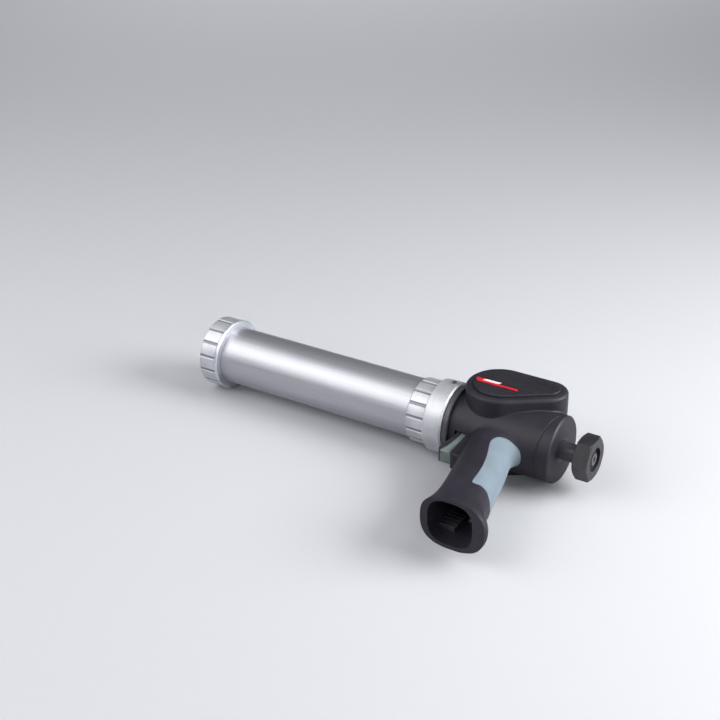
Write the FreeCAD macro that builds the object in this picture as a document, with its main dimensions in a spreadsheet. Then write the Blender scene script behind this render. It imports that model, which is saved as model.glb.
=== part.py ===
# Cordless caulking tool lying on its right side: barrel along X, tool's left side up.
import FreeCAD, Part
import Sketcher
import math
import os
from FreeCAD import Placement, Rotation, Vector

# Driving sizes in millimetres, degrees and counts. X runs from the front cap to the knob.
SIZES = {
    # front cap, nozzle plate and the threaded ring behind them
    "cap_length": 17.9, "cap_radius": 33.0, "cap_lip": 3.0, "cap_mouth_radius": 22.0,
    "nozzle_bore_radius": 10.0, "nozzle_plate_thickness": 3.0, "thread_radius": 30.0,
    "ring_length": 2.4, "ring_radius": 33.5, "edge_chamfer": 0.8,
    "flute_count": 15, "flute_radius": 2.2, "flute_depth": 0.8, "flute_turn": 8.5,
    # barrel tube, nut, collar and flange
    "tube_radius": 27.0, "tube_wall": 1.5, "tube_bare_length": 204.4,
    "nut_length": 18.0, "nut_radius": 29.3, "collar_length": 18.0, "collar_radius": 32.8,
    "collar_chamfer": 1.5, "flange_length": 5.0, "flange_radius": 31.0,
    "spigot_length": 6.0, "set_screw_radius": 2.0, "set_screw_count": 1, "set_screw_depth": 7.2,
    "set_screw_turn": -8.0, "set_screw_share": 0.66,
    # clearances
    "fit_gap": 0.05, "run_gap": 0.08, "free_gap": 0.3, "overrun": 1.0, "level_slack": 0.001,
    "seam_slack": 0.02,
    # piston, rod and knob
    "piston_set_back": 24.0, "piston_length": 14.0, "piston_gap": 0.7, "seal_width": 4.0,
    "seal_depth": 2.5, "piston_nut_flats": 16.0, "piston_nut_height": 6.0, "stub_radius": 5.0,
    "rod_radius": 8.0, "rack_flat": 5.6, "rack_module": 1.5, "rack_addendum_share": 0.7,
    "rack_root_clearance": 0.35, "rack_start": 55.0, "neck_length": 15.0, "neck_plain": 10.0,
    "knob_length": 14.6, "knob_flats": 35.0, "knob_bevel": 2.4, "knob_recess_radius": 10.5,
    "knob_recess_depth": 3.0, "knob_socket_depth": 8.0, "knob_screw_radius": 5.5,
    "knob_screw_height": 2.2, "hex_key": 4.0, "hex_key_depth": 1.4,
    # rod bushes
    "bush_radius": 11.0, "front_wall": 4.0, "rear_wall": 9.0,
    # housing waist and rear end
    "body_length": 95.4, "waist_radius": 27.5, "rear_radius": 29.6, "shell_wall": 2.5,
    "rear_cap_length": 6.7, "rear_cap_tilt": 11.5, "rear_edge": 1.5,
    # gear case: two round ends joined by tangents
    "case_front_x": 30.6, "case_front_y": 10.5, "case_front_radius": 30.0,
    "case_rear_x": 69.0, "case_rear_y": 22.5, "case_rear_radius": 17.9,
    "case_left": 40.0, "case_edge": 3.0, "cover_inset": 6.5, "cover_thickness": 4.0,
    "cover_rise": 2.2, "cover_edge": 1.2, "ledge": 2.5, "groove_count": 9, "groove_pitch": 4.6,
    "groove_width": 0.9, "groove_depth": 0.45, "label_length": 41.0, "label_height": 6.0,
    "label_thickness": 0.5, "label_x": 9.5, "label_y": 8.5,
    # handle and grip insert
    "handle_root_x": 37.4, "handle_reach": 144.0, "handle_lean": 30.0,
    "grip_half_length": 23.5, "grip_half_width": 19.0,
    "insert_thickness": 2.2, "case_blend": 1.5, "handle_blend": 6.0, "section_points": 12,
    "swell_share": 0.06, "rear_swell_share": 0.69,
    # trigger and switch
    "trigger_pivot_x": 14.4, "trigger_pivot_y": 20.0, "trigger_pin_radius": 2.0, "trigger_eye": 4.5,
    "trigger_half_width": 5.4, "trigger_drop": 40.5, "trigger_depth": 11.0, "trigger_slack": 0.7,
    "trigger_pin_reach": 16.2, "slot_rise": 8.0, "switch_drop": 17.0, "switch_length": 19.0,
    "switch_height": 20.0, "switch_half_width": 8.0, "button_radius": 2.6, "button_gap": 0.35,
    "switch_stand_off": 7.5, "board_thickness": 1.6, "board_height": 26.0, "board_half_width": 9.0,
    "slot_front_share": 0.7, "slot_depth_share": 1.35, "lever_back_share": 0.665,
    "trigger_swing": 6.0, "seat_half_width": 7.9, "seat_edge": 1.2,
    # battery socket
    "contact_depth": 62.0, "contact_height": 12.0, "blade_length": 16.0, "blade_thickness": 1.0,
    "blade_half_width": 2.5, "blade_pitch": 8.0, "rib_count": 6, "rib_thickness": 1.6, "rib_pitch": 4.8,
    "rib_height": 3.0, "rib_reach": 24.0, "rib_start_share": 0.73, "liner_thickness": 0.9,
    "strip_length": 7.0, "strip_thickness": 1.0,
    "strip_pitch": 4.5, "strip_share": 0.76, "strip_height": 3.4, "socket_width_share": 0.83,
    "rib_end_share": 0.15,
    # gear train
    "pinion_teeth": 12, "pinion_half_width": 6.0, "pinion_x": 31.4, "gear_module": 1.0,
    "drive_teeth": 44, "output_teeth": 22, "train_angle": 17.0, "gear_width": 9.0,
    "gear_lift": 1.2, "backlash": 0.16, "pressure_angle": 20.0, "shaft_radius": 4.0,
    "bearing_radius": 8.0, "bearing_width": 4.0, "plate_level": 9.5, "plate_margin": 2.0,
    "lower_bearing_level": 12.0, "bearing_boss_radius": 10.5, "clip_radius": 6.0, "clip_width": 1.0,
    "motor_radius": 14.0, "motor_gap": 0.5, "gearbox_length": 15.0, "end_cap_length": 4.0,
    "output_shaft_radius": 3.0, "lead_radius": 0.9, "lead_spread": 3.2, "lead_side_share": 0.1,
    "lead_inset_share": 0.6, "lead_rise_share": 0.25, "lead_drop_share": 0.3, "lead_bend_share": 0.45,
    "dedendum_share": 1.25,
    # screws
    "screw_radius": 1.6, "screw_head_radius": 2.9, "screw_head_height": 2.4, "boss_radius": 3.6,
    "plate_screw_radius": 1.25, "plate_screw_head": 2.4, "plate_screw_circle": 9.5,
    "plate_screw_depth": 6.0,
}

# Handle stations: depth along the reach, then front, rear and half width of the grip's size, and
# how square the front and rear of the section are: 2 is an ellipse.
HANDLE_SHARES = (
    (0.056, 0.90, 1.45, 0.86, 2.6, 2.0),
    (0.13, 0.89, 1.30, 0.88, 2.6, 2.0),
    (0.19, 0.88, 1.17, 0.90, 2.6, 2.0),
    (0.25, 0.88, 0.96, 0.91, 2.6, 2.1),
    (0.33, 0.88, 0.93, 0.92, 2.6, 2.2),
    (0.45, 0.88, 0.97, 0.94, 2.6, 2.3),
    (0.62, 0.87, 0.98, 0.97, 2.6, 2.3),
    (0.77, 0.88, 1.00, 1.01, 2.6, 2.4),
    (0.89, 0.96, 1.08, 1.09, 2.6, 2.5),
    (1.0, 1.17, 1.23, 1.215, 2.6, 2.6),
)

# Hollow of the handle and its battery socket, in the same terms.
SOCKET_SHARES = (
    (0.056, 0.70, 0.90, 0.66, 2.6, 2.6),
    (0.19, 0.70, 0.80, 0.68, 2.8, 2.6),
    (0.33, 0.71, 0.68, 0.71, 2.9, 2.7),
    (0.514, 0.72, 0.74, 0.74, 3.0, 2.9),
    (0.77, 0.73, 0.78, 0.82, 3.0, 3.0),
    (0.89, 0.78, 0.79, 0.93, 3.0, 3.0),
    (1.0, 0.885, 0.79, 1.03, 3.0, 3.0),
)

# Front edge of the grip insert: depth along the reach, and place across the grip's half length.
INSERT_SHARES = (
    (0.33, 1.22), (0.26, 1.22), (0.225, 1.21), (0.211, 1.18), (0.2055, 1.11), (0.2037, 0.97), (0.203, 0.757),
    (0.2045, 0.63), (0.2115, 0.5), (0.2247, 0.348), (0.2386, 0.262), (0.2568, 0.201), (0.2942, 0.135),
    (0.3174, 0.132), (0.3769, 0.189), (0.4639, 0.272), (0.5532, 0.308), (0.6321, 0.3), (0.6974, 0.267),
    (0.7308, 0.258), (0.746, 0.285), (0.748, 0.368), (0.738, 0.507), (0.7343, 0.66), (0.7373, 0.801),
    (0.75, 0.908), (0.762, 1.0), (0.77, 1.22),
)

# Trigger lever and its front pad: across the trigger's depth, and down its drop from the pivot.
LEVER_SHARES = (
    (-0.28, 0.0), (0.3, 0.0), (0.3, -0.12), (0.66, -0.27), (0.66, -1.0), (-0.3, -1.0), (-0.3, -0.94),
    (-0.13, -0.76), (-0.04, -0.42), (-0.03, -0.16), (-0.28, -0.12),
)
PAD_SHARES = (
    (-0.45, -0.13), (-0.29, -0.13), (-0.04, -0.17), (-0.05, -0.42), (-0.14, -0.76), (-0.31, -0.94),
    (-0.31, -1.0), (-0.44, -0.99), (-0.6, -0.9), (-0.63, -0.82), (-0.455, -0.48),
)
TRIGGER_SEAT_SHARES = (
    (0.45, 0.1), (0.45, -0.1), (0.59, -1.0), (0.68, -1.05), (0.9, -1.075), (2.2, -1.09), (2.2, 0.1),
)

# Housing screws in the gear case, in radii of its front end; the first post carries the gear plate and
# the second passes its edge. One more stands near the rear end and one in the grip.
CASE_SCREW_SHARES = ((0.493, 0.863), (-0.241, -0.799))
REAR_SCREW_SHARES = (0.83, -0.62)
GRIP_SCREW_SHARES = (0.39, -0.44)
SEAT_SHARES = (0.87, 0.87, 0.58, 0.4)

# Stations up a gear tooth's flank, from its foot to its tip.
FLANK_SHARES = (0.0, 0.15, 0.45, 0.75, 1.0)


class Size:
    # A size from the sheet, or a sum of such sizes, as an expression and as its number.
    def __init__(self, text, value):
        self.text = text
        self.value = value

    def __add__(self, other):
        return Size(f"({self.text} + {sized(other).text})", self.value + sized(other).value)

    def __sub__(self, other):
        return Size(f"({self.text} - {sized(other).text})", self.value - sized(other).value)

    def __mul__(self, other):
        return Size(f"({self.text} * {sized(other).text})", self.value * sized(other).value)

    def __truediv__(self, other):
        return Size(f"({self.text} / {sized(other).text})", self.value / sized(other).value)

    def __neg__(self):
        return Size(f"(-1 * {self.text})", -self.value)

    __radd__ = __add__
    __rmul__ = __mul__


def sized(value):
    if isinstance(value, Size):
        return value
    return Size(repr(float(value)), float(value))


doc = FreeCAD.newDocument("caulking_tool")
sheet = doc.addObject("Spreadsheet::Sheet", "Sizes")
for row, (alias, number) in enumerate(SIZES.items(), start=1):
    sheet.set(f"A{row}", alias)
    sheet.set(f"B{row}", str(number))
    sheet.setAlias(f"B{row}", alias)
doc.recompute()


def of(alias):
    return Size(f"Sizes.{alias}", float(SIZES[alias]))


ZERO = sized(0)
ORIGIN = (ZERO, ZERO, ZERO)
TURNS = {"X": Rotation(Vector(0, 1, 0), 90), "Y": Rotation(Vector(1, 0, 0), -90), "Z": Rotation()}
nodes = {}


def node(label, thing):
    thing.Label = label
    nodes[label] = thing
    return thing


def bind(thing, field, size):
    thing.setExpression(field, size.text)


def place(thing, at, rotation=Rotation()):
    thing.Placement = Placement(Vector(*(part.value for part in at)), rotation)
    for axis, part in zip("xyz", at):
        bind(thing, f"Placement.Base.{axis}", part)
    return thing


def cylinder(name, radius, length, at=ORIGIN, axis="X"):
    thing = doc.addObject("Part::Cylinder", name)
    bind(thing, "Radius", radius)
    bind(thing, "Height", length)
    return place(thing, at, TURNS[axis])


def box(name, length, width, height, at, rotation=Rotation()):
    thing = doc.addObject("Part::Box", name)
    bind(thing, "Length", length)
    bind(thing, "Width", width)
    bind(thing, "Height", height)
    return place(thing, at, rotation)


def prism(name, flats, height, at=ORIGIN, axis="X"):
    thing = doc.addObject("Part::Prism", name)
    thing.Polygon = 6
    bind(thing, "Circumradius", flats / math.sqrt(3))
    bind(thing, "Height", height)
    return place(thing, at, TURNS[axis])


def fuse(name, *things):
    thing = doc.addObject("Part::MultiFuse", name)
    thing.Shapes = list(things)
    return thing


def cut(name, base, *tools):
    thing = doc.addObject("Part::Cut", name)
    thing.Base = base
    thing.Tool = tools[0] if len(tools) == 1 else fuse(name + "_tools", *tools)
    return thing


def common(name, first, second):
    thing = doc.addObject("Part::Common", name)
    thing.Base = first
    thing.Tool = second
    return thing


def group(name, things):
    thing = doc.addObject("Part::Compound", name)
    thing.Links = list(things)
    return thing


def shaped(name, shape, at=ORIGIN, rotation=Rotation()):
    thing = doc.addObject("Part::Feature", name)
    thing.Shape = shape
    return place(thing, at, rotation)


def closed_outline(sketch, points):
    corners = [Vector(u.value, v.value, 0) for u, v in points]
    count = len(corners)
    for index in range(count):
        sketch.addGeometry(Part.LineSegment(corners[index], corners[(index + 1) % count]), False)
    for index in range(count):
        sketch.addConstraint(Sketcher.Constraint("Coincident", index, 2, (index + 1) % count, 1))
    for index, (u, v) in enumerate(points):
        for kind, size in (("DistanceX", u), ("DistanceY", v)):
            number = sketch.addConstraint(Sketcher.Constraint(kind, -1, 1, index, 1, size.value))
            sketch.setExpression(f"Constraints[{number}]", size.text)


def body_sketch(body, role):
    sketch = body.newObject("Sketcher::SketchObject", body.Name + "_outline")
    plane = [face for face in body.Origin.OriginFeatures if face.Role == role][0]
    sketch.AttachmentSupport = (plane, [""])
    sketch.MapMode = "FlatFace"
    return sketch


def revolved(name, points):
    # Turned piece: the outline holds X stations and radii about the barrel axis.
    body = doc.addObject("PartDesign::Body", name)
    sketch = body_sketch(body, "XY_Plane")
    closed_outline(sketch, points)
    turn = body.newObject("PartDesign::Revolution", name + "_turn")
    turn.Profile = sketch
    turn.ReferenceAxis = (sketch, ["H_Axis"])
    turn.Angle = 360
    body.Tip = turn
    return body


def padded(name, points, length, at):
    # Flat piece: an outline in X and Y with a thickness along Z.
    body = doc.addObject("PartDesign::Body", name)
    sketch = body_sketch(body, "XY_Plane")
    closed_outline(sketch, points)
    pad = body.newObject("PartDesign::Pad", name + "_pad")
    pad.Profile = sketch
    bind(pad, "Length", length)
    body.Tip = pad
    return place(body, at)


def flutes(name, outer, start, length):
    # Shallow grooves spread round a turned piece.
    middle = outer - of("flute_depth") + of("flute_radius")
    cutters = []
    count = int(SIZES["flute_count"])
    for index in range(count):
        angle = 2 * math.pi * (index + 0.5) / count + math.radians(SIZES["flute_turn"])
        at = (start - of("overrun"), middle * math.cos(angle), middle * math.sin(angle))
        cutters.append(cylinder(f"{name}_{index}", of("flute_radius"), length + of("overrun") * 2, at))
    return fuse(name, *cutters)


# Stations along the barrel axis.
plate_x = of("cap_lip") + of("fit_gap")
tube_x = plate_x + of("nozzle_plate_thickness") + of("free_gap") / 2
ring_x = of("cap_length") + of("free_gap")
bare_x = ring_x + of("ring_length")
nut_x = bare_x + of("tube_bare_length")
collar_x = nut_x + of("nut_length") + of("free_gap")
flange_x = collar_x + of("collar_length")
body_x = flange_x + of("flange_length")
rear_x = body_x + of("body_length")
knob_x = rear_x + of("neck_length")
knob_end = knob_x + of("knob_length")
tube_bore = of("tube_radius") - of("tube_wall")
floor_z = -of("ring_radius")
piston_x = tube_x + of("piston_set_back")
piston_end = piston_x + of("piston_length")


def make_cap():
    over = of("cap_length")
    inner = of("thread_radius") + of("free_gap")
    chamfer = of("edge_chamfer")
    blank = revolved("front_cap_blank", (
        (ZERO, of("cap_mouth_radius")), (ZERO, of("cap_radius") - chamfer), (chamfer, of("cap_radius")),
        (over - chamfer, of("cap_radius")), (over, of("cap_radius") - chamfer), (over, inner),
        (of("cap_lip"), inner), (of("cap_lip"), of("cap_mouth_radius"))))
    node("front_cap", cut("front_cap", blank, flutes("cap_flutes", of("cap_radius"), ZERO, over)))
    boss = of("cap_mouth_radius") - of("free_gap")
    plate_end = plate_x + of("nozzle_plate_thickness")
    node("nozzle_plate", revolved("nozzle_plate", (
        (ZERO, of("nozzle_bore_radius")), (ZERO, boss), (plate_x, boss),
        (plate_x, of("thread_radius") - of("edge_chamfer")),
        (plate_end, of("thread_radius") - of("edge_chamfer")), (plate_end, of("nozzle_bore_radius")))))


def make_barrel():
    outer = of("tube_radius")
    sleeve = outer + of("fit_gap")
    node("barrel_tube", revolved("barrel_tube", (
        (tube_x, tube_bore), (tube_x, outer), (flange_x, outer), (flange_x, tube_bore))))
    chamfer = of("edge_chamfer")
    node("barrel_front_ring", revolved("barrel_front_ring", (
        (tube_x, sleeve), (tube_x, of("thread_radius")), (ring_x, of("thread_radius")),
        (ring_x, of("ring_radius")), (bare_x - chamfer, of("ring_radius")),
        (bare_x, of("ring_radius") - chamfer), (bare_x, sleeve))))
    turning = outer + of("free_gap")
    nut_end = nut_x + of("nut_length")
    blank = revolved("barrel_nut_blank", (
        (nut_x, turning), (nut_x, of("nut_radius") - chamfer), (nut_x + chamfer, of("nut_radius")),
        (nut_end, of("nut_radius")), (nut_end, turning)))
    grooves = flutes("nut_flutes", of("nut_radius"), nut_x, of("nut_length"))
    node("barrel_nut", cut("barrel_nut", blank, grooves))
    bevel = of("collar_chamfer")
    ring = revolved("collar_blank", (
        (collar_x, sleeve), (collar_x, of("collar_radius") - chamfer),
        (collar_x + chamfer, of("collar_radius")), (flange_x - bevel, of("collar_radius")),
        (flange_x, of("collar_radius") - bevel), (flange_x, sleeve)))
    holes = []
    screws = []
    middle = collar_x + of("collar_length") * of("set_screw_share")
    count = int(SIZES["set_screw_count"])
    for index in range(count):
        spin = Rotation(Vector(1, 0, 0), SIZES["set_screw_turn"] + 360 * index / count)
        out = Vector(0, 0, 1)
        depth = of("collar_radius") + of("overrun")
        hole = cylinder(f"set_screw_hole_{index}", of("set_screw_radius"), depth, axis="Z")
        place(hole, (middle, ZERO, ZERO), spin)
        holes.append(hole)
        start = of("tube_radius") + of("fit_gap")
        side = spin.multVec(out)
        at = (middle, start * side.y, start * side.z)
        stem = of("set_screw_radius") - of("fit_gap")
        blank = place(cylinder(f"set_screw_{index}", stem, of("set_screw_depth")), at, spin)
        top = start + of("set_screw_depth") - of("hex_key_depth")
        at = (middle, top * side.y, top * side.z)
        socket = prism(f"set_screw_socket_{index}", of("set_screw_radius"), of("hex_key_depth"))
        screws.append(cut(f"set_screw_cut_{index}", blank, place(socket, at, spin)))
    node("barrel_collar", cut("barrel_collar", ring, *holes))
    node("collar_set_screws", group("collar_set_screws", screws))
    bush = of("bush_radius") + of("fit_gap")
    plug = tube_bore - of("fit_gap")
    node("front_flange", revolved("front_flange", (
        (flange_x - of("spigot_length"), bush), (flange_x - of("spigot_length"), plug), (flange_x, plug),
        (flange_x, of("flange_radius") - chamfer), (flange_x + chamfer, of("flange_radius")),
        (body_x, of("flange_radius")), (body_x, bush))))


def make_plunger():
    outer = tube_bore - of("piston_gap")
    groove = outer - of("seal_depth")
    seal_start = piston_x + (of("piston_length") - of("seal_width")) / 2
    seal_end = seal_start + of("seal_width")
    hole = of("stub_radius") + of("fit_gap")
    node("piston", revolved("piston", (
        (piston_x, hole), (piston_x, outer - of("edge_chamfer")), (piston_x + of("edge_chamfer"), outer),
        (seal_start, outer), (seal_start, groove), (seal_end, groove), (seal_end, outer),
        (piston_end, outer), (piston_end, hole))))
    lip = tube_bore - of("free_gap")
    node("piston_seal", revolved("piston_seal", (
        (seal_start + of("fit_gap"), groove + of("fit_gap")), (seal_start + of("fit_gap"), lip),
        (seal_end - of("fit_gap"), lip), (seal_end - of("fit_gap"), groove + of("fit_gap")))))
    nut_start = piston_x - of("piston_nut_height")
    nut = prism("piston_nut_blank", of("piston_nut_flats"), of("piston_nut_height"), (nut_start, ZERO, ZERO))
    nut_hole = cylinder("piston_nut_hole", hole, of("piston_nut_height"), (nut_start, ZERO, ZERO))
    node("piston_nut", cut("piston_nut", nut, nut_hole))
    node("rack_rod", make_rod(nut_start))
    make_knob()


def make_rod(stub_x):
    bar_end = knob_x + of("knob_socket_depth")
    stub = cylinder("rod_stub", of("stub_radius"), piston_end - stub_x, (stub_x, ZERO, ZERO))
    bar = cylinder("rod_bar", of("rod_radius"), bar_end - piston_end, (piston_end, ZERO, ZERO))
    flat_end = rear_x - of("neck_plain")
    reach = of("rod_radius") * 2
    flat = box("rod_flat", flat_end - of("rack_start"), reach, reach,
               (of("rack_start"), of("rack_flat"), -of("rod_radius")))
    # One tooth gap of the rack, repeated along the toothed length.
    pitch = math.pi * SIZES["rack_module"]
    middle = (body_x + of("pinion_x")).value
    tip = SIZES["rack_flat"]
    line = tip - SIZES["rack_addendum_share"] * SIZES["rack_module"]
    root = line - SIZES["rack_module"] - SIZES["rack_root_clearance"]
    slope = math.tan(math.radians(SIZES["pressure_angle"]))
    half = pitch / 4 + SIZES["backlash"] / 2
    over = SIZES["overrun"]
    low = half - slope * (line - root)
    high = half + slope * (tip + over - line)
    corners = [Vector(-low, root, 0), Vector(low, root, 0)]
    corners += [Vector(high, tip + over, 0), Vector(-high, tip + over, 0)]
    face = Part.Face(Part.makePolygon(corners + corners[:1]))
    gap = face.extrude(Vector(0, 0, reach.value))
    first = math.ceil((SIZES["rack_start"] + pitch - middle) / pitch)
    last = math.floor((flat_end.value - pitch - middle) / pitch)
    gaps = [gap.translated(Vector(middle + (number + 0.5) * pitch, 0, -SIZES["rod_radius"]))
            for number in range(first, last)]
    teeth = shaped("rack_gaps", Part.makeCompound(gaps))
    return cut("rack_rod", fuse("rod_round", stub, bar), fuse("rack_cut", flat, teeth))


def make_knob():
    hexagon = prism("knob_hexagon", of("knob_flats"), of("knob_length"))
    place(hexagon, (knob_x, ZERO, ZERO), Rotation(Vector(1, 0, 0), 30) * TURNS["X"])
    corner = of("knob_flats") / math.sqrt(3)
    bevel = of("knob_bevel")
    turned = revolved("knob_turned", (
        (knob_x, ZERO), (knob_x, corner - bevel * 2), (knob_x + bevel, corner),
        (knob_end - bevel / 2, corner), (knob_end, corner - bevel), (knob_end, ZERO)))
    socket = cylinder("knob_socket", of("rod_radius") + of("fit_gap"), of("knob_socket_depth"),
                      (knob_x, ZERO, ZERO))
    floor_x = knob_end - of("knob_recess_depth")
    recess = cylinder("knob_recess", of("knob_recess_radius"), of("knob_recess_depth"), (floor_x, ZERO, ZERO))
    node("pull_knob", cut("pull_knob", common("knob_blank", hexagon, turned), socket, recess))
    head = cylinder("knob_screw_head", of("knob_screw_radius"), of("knob_screw_height"),
                    (floor_x, ZERO, ZERO))
    key_x = floor_x + of("knob_screw_height") - of("hex_key_depth")
    key = prism("knob_screw_key", of("hex_key"), of("hex_key_depth"), (key_x, ZERO, ZERO))
    node("knob_screw", cut("knob_screw", head, key))


def egg(name, inset, base, height):
    # Gear case outline: a large and a small round end with their outer tangents.
    sketch = doc.addObject("Sketcher::SketchObject", name + "_outline")
    centres = ((body_x + of("case_front_x"), of("case_front_y")),
               (body_x + of("case_rear_x"), of("case_rear_y")))
    radii = (of("case_front_radius") - inset, of("case_rear_radius") - inset)
    big, small = (Vector(u.value, v.value, 0) for u, v in centres)
    lean = math.atan2(small.y - big.y, small.x - big.x)
    spread = math.acos((radii[0].value - radii[1].value) / (small - big).Length)
    near, far = lean - spread, lean + spread
    normal = Vector(0, 0, 1)
    arcs = (Part.ArcOfCircle(Part.Circle(big, normal, radii[0].value), far, near + 2 * math.pi),
            Part.ArcOfCircle(Part.Circle(small, normal, radii[1].value), near, far))
    for arc in arcs:
        sketch.addGeometry(arc, False)
    sketch.addGeometry(Part.LineSegment(arcs[0].EndPoint, arcs[1].StartPoint), False)
    sketch.addGeometry(Part.LineSegment(arcs[1].EndPoint, arcs[0].StartPoint), False)
    for first, end, second, start in ((0, 2, 2, 1), (2, 2, 1, 1), (1, 2, 3, 1), (3, 2, 0, 1)):
        sketch.addConstraint(Sketcher.Constraint("Tangent", first, end, second, start))
    for index, (centre, radius) in enumerate(zip(centres, radii)):
        number = sketch.addConstraint(Sketcher.Constraint("Radius", index, radius.value))
        sketch.setExpression(f"Constraints[{number}]", radius.text)
        for kind, size in zip(("DistanceX", "DistanceY"), centre):
            number = sketch.addConstraint(Sketcher.Constraint(kind, -1, 1, index, 3, size.value))
            sketch.setExpression(f"Constraints[{number}]", size.text)
    place(sketch, (ZERO, ZERO, base))
    block = doc.addObject("Part::Extrusion", name)
    block.Base = sketch
    block.DirMode = "Normal"
    block.Solid = True
    bind(block, "LengthFwd", height)
    return block


def rounded_top(name, block, level, radius):
    # Rounds the edges that lie in one level of an upright block.
    doc.recompute()
    edges = []
    for number, edge in enumerate(block.Shape.Edges, start=1):
        heights = (edge.BoundBox.ZMin, edge.BoundBox.ZMax)
        if max(abs(height - level.value) for height in heights) < SIZES["level_slack"]:
            edges.append(number)
    thing = doc.addObject("Part::Fillet", name)
    thing.Base = block
    thing.Edges = [(number, radius.value, radius.value) for number in edges]
    return thing


def seam_edges(block, first, second):
    # Numbers of the edges where two pieces of a fused block meet.
    numbers = []
    shells = [thing.Shape.Shells[0] for thing in (first, second)]
    for number, edge in enumerate(block.Shape.Edges, start=1):
        middle = Part.Vertex(edge.valueAt((edge.FirstParameter + edge.LastParameter) / 2))
        points = [middle] + edge.Vertexes
        away = max(point.distToShape(shell)[0] for point in points for shell in shells)
        if away < SIZES["seam_slack"]:
            numbers.append(number)
    return numbers


def blended(name, block, seams):
    # Rounds the inner corners where the pieces of a fused block meet.
    doc.recompute()
    edges = []
    for first, second, radius in seams:
        edges += [(number, radius.value, radius.value) for number in seam_edges(block, first, second)]
    thing = doc.addObject("Part::Fillet", name)
    thing.Base = block
    thing.Edges = edges
    return thing


def grip_x(depth_share, across_share):
    along = of("handle_lean") * depth_share + of("grip_half_length") * across_share
    return body_x + of("handle_root_x") + along


def half_section(middle, reach, half, power, turn):
    # One end of a handle section, from its left side round to its right side.
    count = int(SIZES["section_points"])
    points = []
    for index in range(count + 1):
        angle = math.pi * index / count
        across = math.sin(angle) ** (2 / power) * reach * turn
        side = math.copysign(abs(math.cos(angle)) ** (2 / power), math.cos(angle)) * half * turn
        points.append(Vector(middle + across, 0, side))
    curve = Part.BSplineCurve()
    along = Vector(turn, 0, 0)
    curve.interpolate(Points=points, InitialTangent=along, FinalTangent=-along)
    return curve.toShape()


def handle_section(name, shares, inset):
    # Rounded outline across the handle at one depth.
    depth, front, rear, width, front_power, rear_power = shares
    length = SIZES["grip_half_length"]
    half = SIZES["grip_half_width"] * width - inset.value
    middle = grip_x(depth, 0).value
    ends = [half_section(middle, length * rear - inset.value, half, rear_power, 1),
            half_section(middle, length * front - inset.value, half, front_power, -1)]
    return shaped(name, Part.Wire(ends), (ZERO, -of("handle_reach") * depth, ZERO))


def handle_loft(name, table, inset):
    # Solid through all sections of a table, each drawn in by the same inset.
    loft = doc.addObject("Part::Loft", name)
    loft.Sections = [handle_section(f"{name}_{index}", shares, inset) for index, shares in enumerate(table)]
    loft.Solid = True
    loft.Ruled = False
    return loft


def insert_region():
    # Upright block over the part of the handle that the soft grip covers.
    points = []
    for depth, across in INSERT_SHARES:
        points.append(Vector(grip_x(depth, across).value, -SIZES["handle_reach"] * depth, 0))
    edge = Part.BSplineCurve()
    edge.interpolate(points)
    back = Part.LineSegment(points[-1], points[0])
    face = Part.Face(Part.Wire([edge.toShape(), back.toShape()]))
    tall = SIZES["grip_half_width"] * 2
    block = face.extrude(Vector(0, 0, 2 * tall))
    return shaped("insert_region", block, (ZERO, ZERO, -of("grip_half_width") * 2))


def screw_places():
    round_end = of("case_front_radius")
    places = []
    for along, up in CASE_SCREW_SHARES:
        places.append((body_x + of("case_front_x") + round_end * along, of("case_front_y") + round_end * up))
    along, up = REAR_SCREW_SHARES
    places.append((body_x + of("body_length") * along, of("waist_radius") * up))
    depth, across = GRIP_SCREW_SHARES
    places.append((grip_x(depth, across), -of("handle_reach") * depth))
    return [(x, y, floor_z * down) for (x, y), down in zip(places, SEAT_SHARES)]


def pinion_place():
    line = of("rack_flat") - of("rack_module") * of("rack_addendum_share")
    return body_x + of("pinion_x"), line + of("rack_module") * of("pinion_teeth") / 2


def output_place():
    angle = math.radians(SIZES["train_angle"])
    reach = of("gear_module") * (of("drive_teeth") + of("output_teeth")) / 2
    x, y = pinion_place()
    return x + reach * math.cos(angle), y + reach * math.sin(angle)


plate_top = of("plate_level") + of("bearing_width")
cover_level = of("case_left") + of("cover_rise") - of("cover_thickness")
case_floor = floor_z + of("shell_wall")
button_y = -(of("trigger_pivot_y") + of("switch_drop"))
pivot_x = body_x + of("trigger_pivot_x")
switch_x = pivot_x + of("trigger_depth") / 2 + of("switch_stand_off")


def upright(name, radius, at, low, high):
    return cylinder(name, radius, high - low, (at[0], at[1], low), "Z")


def switch_box(name, gap):
    height = of("switch_height") + gap * 2
    side = of("switch_half_width") + gap
    at = (switch_x - gap, button_y - height / 2, -side)
    return box(name, of("switch_length") + gap * 2, height, side * 2, at)


def rear_wedge():
    # Block behind the slanted joint of the rear end cap.
    tilt = math.radians(SIZES["rear_cap_tilt"])
    half = of("rear_radius") * 2
    start = rear_x - of("rear_cap_length")
    at = (start - half * math.sin(tilt), -half * math.cos(tilt), -half)
    return box("rear_wedge", half, half * 2, half * 2, at, Rotation(Vector(0, 0, 1), -SIZES["rear_cap_tilt"]))


def housing_bosses():
    # Screw posts, the lower bearing's seat and the posts that hold the switch.
    posts = []
    for index, (x, y, seat) in enumerate(screw_places()):
        top = cover_level if index else of("plate_level")
        posts.append(upright(f"boss_{index}", of("boss_radius"), (x, y), floor_z, top))
    seat_top = -of("lower_bearing_level")
    posts.append(upright("bearing_boss", of("bearing_boss_radius"), pinion_place(), floor_z, seat_top))
    middle = (switch_x + of("switch_length") / 2, button_y)
    posts.append(upright("switch_post", of("boss_radius"), middle, floor_z, cover_level))
    return fuse("housing_bosses", *posts)


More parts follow.
